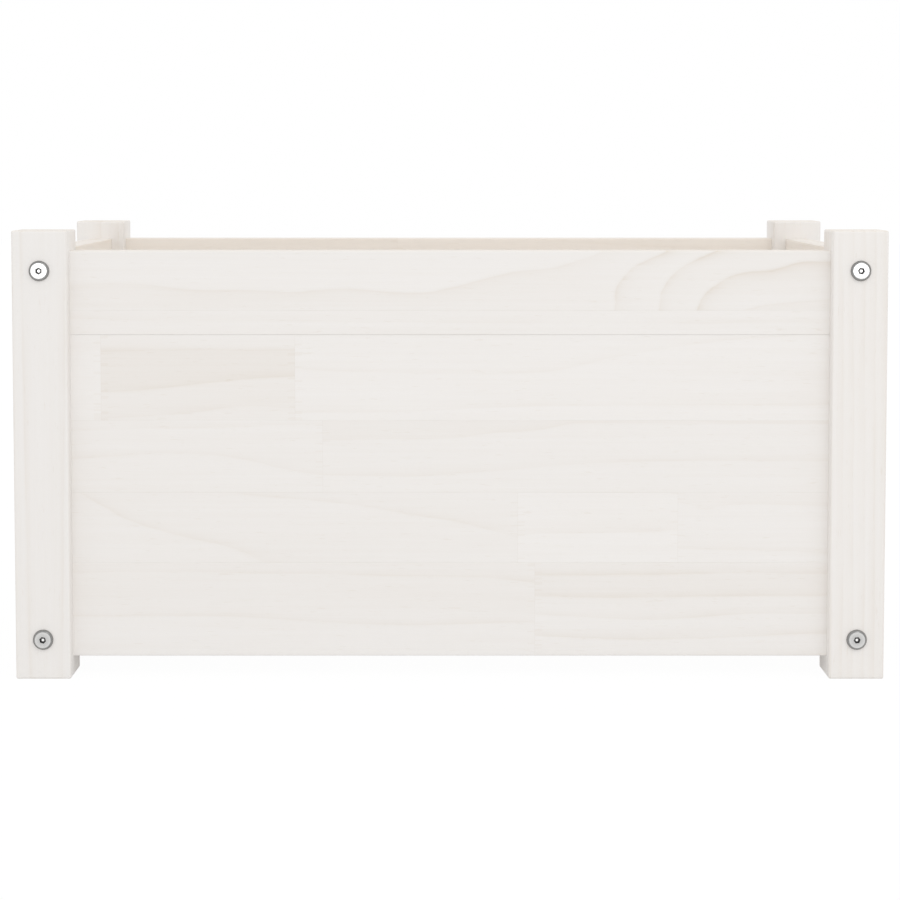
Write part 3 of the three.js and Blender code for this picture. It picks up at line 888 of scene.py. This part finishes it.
def connector_bolt(node, x, side, height, steps):
    """A connector bolt seated on a post: a flat rounded head with a hexagon socket turned by some steps."""
    angles = np.arange(ROUND_SIDES) * 2 * math.pi / ROUND_SIDES
    to_flat = (angles + steps * 2 * math.pi / ROUND_SIDES) % (math.pi / 3) - math.pi / 6
    hexagon = 1 / np.cos(to_flat)
    rows = []

    def ring(along, radius, shape=1.0):
        reach = radius * shape
        places = [np.full(ROUND_SIDES, along), reach * np.sin(angles), reach * np.cos(angles)]
        rows.append(np.column_stack(places))

    ring(BOSS_TOP, BOSS / 2)
    ring(BOSS_TOP, BOSS - EDGE)
    ring(BOSS_TOP + EDGE, BOSS)
    ring(SOCKET_FLOOR, BOSS)
    ring(SOCKET_FLOOR, SOCKET, hexagon)
    ring(HEAD_TOP + 2 * EDGE, SOCKET, hexagon)
    ring(HEAD_TOP, SOCKET + EDGE, hexagon)
    ring(HEAD_TOP, 3.2)
    ring(HEAD_TOP, 4.2)
    ring(HEAD_TOP, HEAD_FLAT)
    for turn in np.linspace(0.1, 1, 7):
        ring(HEAD_TOP + HEAD_DROP * turn ** 1.3, HEAD_FLAT + HEAD_SPREAD * turn ** 0.8)
    ring(-0.5, HEAD)
    ring(-EDGE, HEAD)
    ring(0.0, HEAD - EDGE)
    ring(0.0, SHANK)
    ring(BOLT_LENGTH - SHANK_CHAMFER, SHANK)
    ring(BOLT_LENGTH, SHANK - SHANK_CHAMFER)
    axes = (Y * -side, X, Z)
    origin = np.array([x, side * POST_FACE, height])
    body = loft("visual_" + node, rows, axes, origin)

    def shine_at(along, radius):
        """The painted glint of the boss, the painted shade of the socket, the flat of the head lightening
        outwards as a painted reflection, or the dark rim and the shank.
        """
        if radius < BOSS - EDGE / 2.5 and -1.2 < along < BOSS_TOP + EDGE:
            return BOSS_GLINT
        if radius < SOCKET * 1.2 and HEAD_TOP + EDGE < along < SOCKET_FLOOR + EDGE:
            return SOCKET_SHADE
        if radius < HEAD_FLAT and along < HEAD_TOP + EDGE:
            return HEAD_SHINE[0] + HEAD_REFLECTION_RISE * radius, HEAD_SHINE[1]
        return DARK_RIM_AND_SHANK

    paint_turned(body, axes, origin, shine_at)
    set_piece(body, BOLT_STEEL, "bolt_steel", node)


def slab(name, low, high):
    """A plain cutter between two corners."""
    corners = np.array([(low[1], low[2]), (high[1], low[2]), (high[1], high[2]), (low[1], high[2])])
    rows = [np.column_stack([np.full(4, x), corners]) for x in (low[0], high[0])]
    return loft(name, rows, (X, Y, Z), (0, 0, 0))


def barrel_nut(node, side, y, height):
    """A barrel nut with a cross bore, and a slot in the end that shows."""
    axes = (X * side, Y, Z)
    origin = np.array([side * BOLT_PLACE, y, height])
    near_end = [(back - NUT_REACH, NUT - inset) for back, inset in NUT_STEPS]
    far_end = [(NUT_REACH - back, NUT - inset) for back, inset in reversed(NUT_STEPS)]
    body = turned("visual_" + node, near_end + far_end, axes, origin)
    inner, outer = sorted(side * (BOLT_PLACE - NUT_REACH + step) for step in (-2, NUT_SLOT_DEPTH))
    low = (inner, y - 9, height - NUT_SLOT_HALF_WIDTH)
    high = (outer, y + 9, height + NUT_SLOT_HALF_WIDTH)
    bore = turned("bore", [(-8, BOLT_BORE), (8, BOLT_BORE)], (Y, X, Z), origin)
    cut(body, [slab("slot", low, high), bore])
    paint_turned(body, axes, origin, lambda along, radius: NUT_SHINE)
    set_piece(body, NUT_STEEL, "nut_steel", node)


def batten_screw(node, x, side):
    """A countersunk screw with a cross recess in its head."""
    axes = (Y * side, X, Z)
    face = side * BATTEN_FACE
    origin = np.array([x, face, SCREW_HEIGHT])
    low, high = corner_box(node)
    length = high[1] - low[1]
    profile = [(0, SCREW_HEAD - 0.2), (0.25, SCREW_HEAD), (0.5, SCREW_HEAD - 0.1),
               (SCREW_HEAD_HEIGHT, SCREW_SHANK), (length - SCREW_POINT, SCREW_SHANK), (length - 0.4, 0.25)]
    body = turned("visual_" + node, profile, axes, origin, SCREW_SIDES)
    near, far = sorted((face - side * 0.5, face + side * RECESS_DEPTH))
    arms = [slab("arm", (x - wide, near, SCREW_HEIGHT - tall), (x + wide, far, SCREW_HEIGHT + tall))
            for wide, tall in ((RECESS_REACH, RECESS_HALF_WIDTH), (RECESS_HALF_WIDTH, RECESS_REACH))]
    cut(body, arms)
    paint_turned(body, axes, origin,
                 lambda along, radius: SCREW_HEAD_SHINE if along < 0.3 else THREAD_SHINE)
    set_piece(body, NUT_STEEL, "nut_steel", node)


for wall, wall_side in WALLS:
    for end, end_side in ENDS:
        for level, height in BOLT_HEIGHTS.items():
            steps = {"left": 0, "right": 3}[wall] + {"lower": 2, "upper": 0}[level]
            connector_bolt(f"bolt_{wall}_{end}_{level}", wall_side * BOLT_PLACE, end_side, height, steps)
            barrel_nut(f"barrel_nut_{wall}_{end}_{level}", wall_side, end_side * NUT_PLACE, height)
for end, side in ENDS:
    for number, x in enumerate(SCREW_PLACES, 1):
        batten_screw(f"screw_{end}_{number}", x * -side, side)

for name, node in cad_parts.items():
    if name.startswith("dowel_"):
        node.data.materials.clear()
        node.data.materials.append(DOWEL_WOOD)


# The studio: even light all round, a pale floor, a low strip lamp in front and a soft lamp above.

WHITE = (1, 1, 1, 1)
FLOOR_REACH = 9
FLOOR_GREY = (0.6, 0.6, 0.6, 1)
FLOOR_GLOW = 0.33
FLOOR_GLOW_SEEN = 0.94
FLOOR_STRENGTH = 1.03
WORLD_LIGHT = 0.99
WORLD_LIGHT_SEEN = 1.0


def studio_floor(name):
    """A pale floor that glows a little, and shows nearly white to the camera with some of the shadow."""
    material, f = new_finish(name)
    glow = FLOOR_GLOW + f.seen() * (FLOOR_GLOW_SEEN - FLOOR_GLOW)
    lit = f.node("ShaderNodeBsdfDiffuse", {}, {"Color": FLOOR_GREY})
    white = f.node("ShaderNodeEmission", {}, {"Color": WHITE, "Strength": FLOOR_STRENGTH})
    shown = f.node("ShaderNodeMixShader", {}, {0: glow, 1: lit, 2: white})
    f.node("ShaderNodeOutputMaterial", {}, {"Surface": shown})
    return material


floor_mesh = bpy.data.meshes.new("studio_floor")
floor_corners = [(x * FLOOR_REACH, y * FLOOR_REACH, 0) for x, y in ((-1, -1), (1, -1), (1, 1), (-1, 1))]
floor_mesh.from_pydata(floor_corners, [], [(0, 1, 2, 3)])
floor = add_object("studio_floor", floor_mesh)
floor_mesh.materials.append(studio_floor("studio_floor"))

world = bpy.data.worlds.new("studio")
bpy.context.scene.world = world
world.use_nodes = True
air = Finish(world.node_tree)
dim = air.node("ShaderNodeBackground", {}, {"Color": WHITE, "Strength": WORLD_LIGHT})
white = air.node("ShaderNodeBackground", {}, {"Color": WHITE, "Strength": WORLD_LIGHT_SEEN})
shown = air.node("ShaderNodeMixShader", {}, {0: air.seen(), 1: dim, 2: white})
air.node("ShaderNodeOutputWorld", {}, {"Surface": shown})


def lamp(name, place, target, size, power):
    """A rectangular soft lamp that the camera doesn't see."""
    light = bpy.data.lights.new(name, "AREA")
    light.shape = "RECTANGLE"
    light.size, light.size_y = size
    light.energy = power
    holder = add_object(name, light)
    holder.location = place
    holder.rotation_euler = (Vector(target) - Vector(place)).to_track_quat("-Z", "Y").to_euler()
    holder.visible_camera = False


lamp("front_strip", (0, -3.0, 0.24), (0, 0, 0.24), (2.4, 0.44), 5.3)
lamp("top_softbox", (0.9, -1.6, 2.1), (0, 0, 0.2), (1.2, 1.0), 5.5)

camera_data = bpy.data.cameras.new("camera")
camera_data.lens = 88.08
camera_data.sensor_width = 36
camera_data.shift_x = 0.0092
camera_data.shift_y = -0.16
camera = add_object("camera", camera_data)
camera.location = (-0.00564, -1.6593, 0.3521)
camera.rotation_euler = (math.radians(90 - 3.561), 0, 0)
bpy.context.scene.camera = camera
bpy.context.scene.view_settings.view_transform = "Standard"
